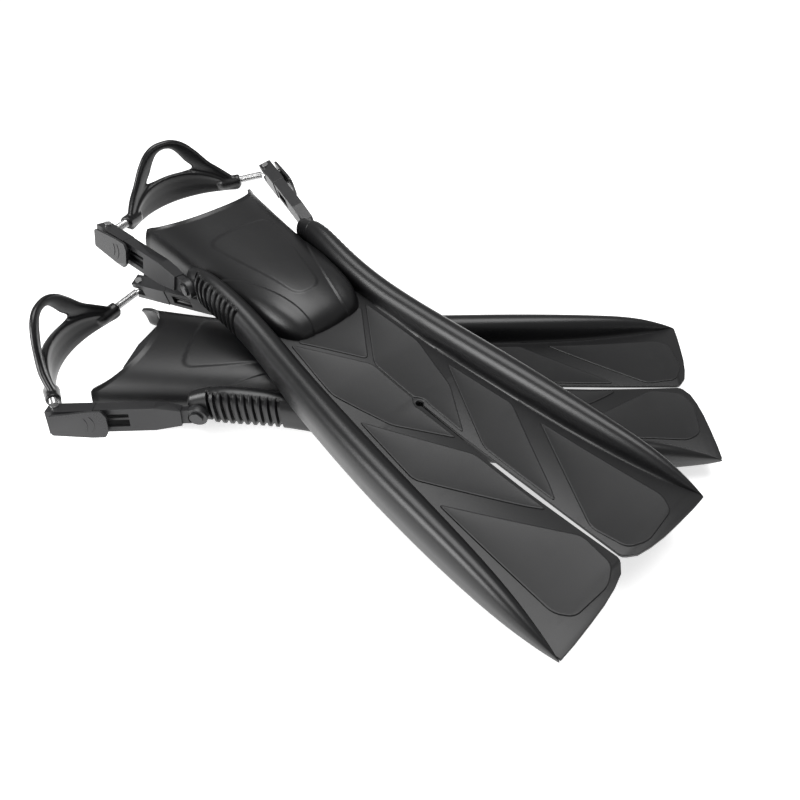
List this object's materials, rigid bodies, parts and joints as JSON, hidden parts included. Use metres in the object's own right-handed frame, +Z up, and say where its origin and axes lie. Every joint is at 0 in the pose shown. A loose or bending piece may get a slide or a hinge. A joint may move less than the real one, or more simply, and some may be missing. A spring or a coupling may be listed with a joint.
{
  "type": "swim fins",
  "caption": "Pair of open-heel split-blade swim fins with spring heel straps, one lying across the other.",
  "frame": {"origin": "middle of the pair's footprint on the floor", "axes": "+X along the bottom fin towards its blade tips (turned 6 degrees), +Z up"},
  "size_m": [0.7586, 0.671, 0.1991],
  "materials": {
    "blade_rubber": "satin",
    "rail_rubber": "satin",
    "pocket_rubber": "satin",
    "sole_plastic": "matte",
    "pad_rubber": "satin",
    "buckle_plastic": "fine texture",
    "lever_plastic": "fine texture",
    "steel": "polished"
  },
  "bodies": {
    "bottom_fin_body": {"bottom_fin_blade": "blade_rubber", "bottom_fin_blade_panels": "blade_rubber", "bottom_fin_left_rail": "rail_rubber", "bottom_fin_right_rail": "rail_rubber", "bottom_fin_foot_pocket": "pocket_rubber", "bottom_fin_sole": "sole_plastic", "bottom_fin_left_post": "steel", "bottom_fin_right_post": "steel"},
    "bottom_fin_left_arm_body": {"bottom_fin_left_buckle_arm": "buckle_plastic"},
    "bottom_fin_left_clip_body": {"bottom_fin_left_clip": "buckle_plastic", "bottom_fin_left_lever_pin": "steel", "bottom_fin_left_spring_pin": "steel"},
    "bottom_fin_left_lever_body": {"bottom_fin_left_release_lever": "lever_plastic"},
    "bottom_fin_right_arm_body": {"bottom_fin_right_buckle_arm": "buckle_plastic"},
    "bottom_fin_right_clip_body": {"bottom_fin_right_clip": "buckle_plastic", "bottom_fin_right_lever_pin": "steel", "bottom_fin_right_spring_pin": "steel"},
    "bottom_fin_right_lever_body": {"bottom_fin_right_release_lever": "lever_plastic"},
    "bottom_fin_heel_strap_body": {"bottom_fin_heel_pad": "pad_rubber", "bottom_fin_left_spring": "steel", "bottom_fin_right_spring": "steel"},
    "top_fin_body": {"top_fin_blade": "blade_rubber", "top_fin_blade_panels": "blade_rubber", "top_fin_left_rail": "rail_rubber", "top_fin_right_rail": "rail_rubber", "top_fin_foot_pocket": "pocket_rubber", "top_fin_sole": "sole_plastic", "top_fin_left_post": "steel", "top_fin_right_post": "steel"},
    "top_fin_left_arm_body": {"top_fin_left_buckle_arm": "buckle_plastic"},
    "top_fin_left_clip_body": {"top_fin_left_clip": "buckle_plastic", "top_fin_left_lever_pin": "steel", "top_fin_left_spring_pin": "steel"},
    "top_fin_left_lever_body": {"top_fin_left_release_lever": "lever_plastic"},
    "top_fin_right_arm_body": {"top_fin_right_buckle_arm": "buckle_plastic"},
    "top_fin_right_clip_body": {"top_fin_right_clip": "buckle_plastic", "top_fin_right_lever_pin": "steel", "top_fin_right_spring_pin": "steel"},
    "top_fin_right_lever_body": {"top_fin_right_release_lever": "lever_plastic"},
    "top_fin_heel_strap_body": {"top_fin_heel_pad": "pad_rubber", "top_fin_left_spring": "steel", "top_fin_right_spring": "steel"}
  },
  "joints": [
    {"name": "bottom_fin_left_strap_swing", "type": "hinge", "parent": "bottom_fin_body", "child": "bottom_fin_left_arm_body", "pos_m": [-0.16548, 0.12497, 0.041], "axis": [0.1028, 0.9947, 0], "range_deg": [0, 12]},
    {"name": "bottom_fin_left_clip_release", "type": "slide", "parent": "bottom_fin_left_arm_body", "child": "bottom_fin_left_clip_body", "axis": [-0.9492, 0.2975, 0.1028], "range_m": [0, 0.041]},
    {"name": "bottom_fin_left_lever_press", "type": "hinge", "parent": "bottom_fin_left_clip_body", "child": "bottom_fin_left_lever_body", "pos_m": [-0.27797, 0.1707, 0.05601], "axis": [-0.0228, 0.2607, -0.9652], "range_deg": [0, 4], "stiffness_Nm_per_rad": 0.3},
    {"name": "bottom_fin_right_strap_swing", "type": "hinge", "parent": "bottom_fin_body", "child": "bottom_fin_right_arm_body", "pos_m": [-0.18415, -0.05566, 0.041], "axis": [0.1028, 0.9947, 0], "range_deg": [0, 12]},
    {"name": "bottom_fin_right_clip_release", "type": "slide", "parent": "bottom_fin_right_arm_body", "child": "bottom_fin_right_clip_body", "axis": [-0.99, -0.0971, 0.1028], "range_m": [0, 0.041]},
    {"name": "bottom_fin_right_lever_press", "type": "hinge", "parent": "bottom_fin_right_clip_body", "child": "bottom_fin_right_lever_body", "pos_m": [-0.30361, -0.07742, 0.05601], "axis": [0.0757, 0.2505, 0.9652], "range_deg": [0, 4], "stiffness_Nm_per_rad": 0.3},
    {"name": "bottom_fin_heel_pad_pull", "type": "slide", "parent": "bottom_fin_left_arm_body", "child": "bottom_fin_heel_strap_body", "axis": [-0.9947, 0.1028, 0], "range_m": [0, 0.03], "stiffness_N_per_m": 500, "deforming": ["bottom_fin_left_spring", "bottom_fin_right_spring"]},
    {"name": "top_fin_left_strap_swing", "type": "hinge", "parent": "top_fin_body", "child": "top_fin_left_arm_body", "pos_m": [-0.07023, 0.20162, 0.10996], "axis": [0.7455, 0.6665, 0], "range_deg": [-10, 50]},
    {"name": "top_fin_left_clip_release", "type": "slide", "parent": "top_fin_left_arm_body", "child": "top_fin_left_clip_body", "axis": [-0.4955, 0.8517, 0.1705], "range_m": [0, 0.041]},
    {"name": "top_fin_left_lever_press", "type": "hinge", "parent": "top_fin_left_clip_body", "child": "top_fin_left_lever_body", "pos_m": [-0.12177, 0.31016, 0.13307], "axis": [0.1138, 0.2583, -0.9594], "range_deg": [0, 4], "stiffness_Nm_per_rad": 0.3},
    {"name": "top_fin_right_strap_swing", "type": "hinge", "parent": "top_fin_body", "child": "top_fin_right_arm_body", "pos_m": [-0.20561, 0.08058, 0.10996], "axis": [0.7455, 0.6665, 0], "range_deg": [-10, 50]},
    {"name": "top_fin_right_clip_release", "type": "slide", "parent": "top_fin_right_arm_body", "child": "top_fin_right_clip_body", "axis": [-0.7912, 0.5873, 0.1705], "range_m": [0, 0.041]},
    {"name": "top_fin_right_lever_press", "type": "hinge", "parent": "top_fin_right_clip_body", "child": "top_fin_right_lever_body", "pos_m": [-0.30772, 0.1439, 0.13307], "axis": [0.2693, 0.0843, 0.9594], "range_deg": [0, 4], "stiffness_Nm_per_rad": 0.3},
    {"name": "top_fin_heel_pad_pull", "type": "slide", "parent": "top_fin_left_arm_body", "child": "top_fin_heel_strap_body", "axis": [-0.6649, 0.7437, 0.0698], "range_m": [0, 0.03], "stiffness_N_per_m": 500, "deforming": ["top_fin_left_spring", "top_fin_right_spring"]},
    {"name": "top_fin_lift_off", "type": "slide", "parent": "bottom_fin_body", "child": "top_fin_body", "axis": [0, 0, 1], "range_m": [0, 0.25]}
  ],
  "couplings": [
    {"joint": "bottom_fin_right_strap_swing", "follows": "bottom_fin_left_strap_swing", "ratio": 1},
    {"joint": "top_fin_right_strap_swing", "follows": "top_fin_left_strap_swing", "ratio": 1}
  ]
}
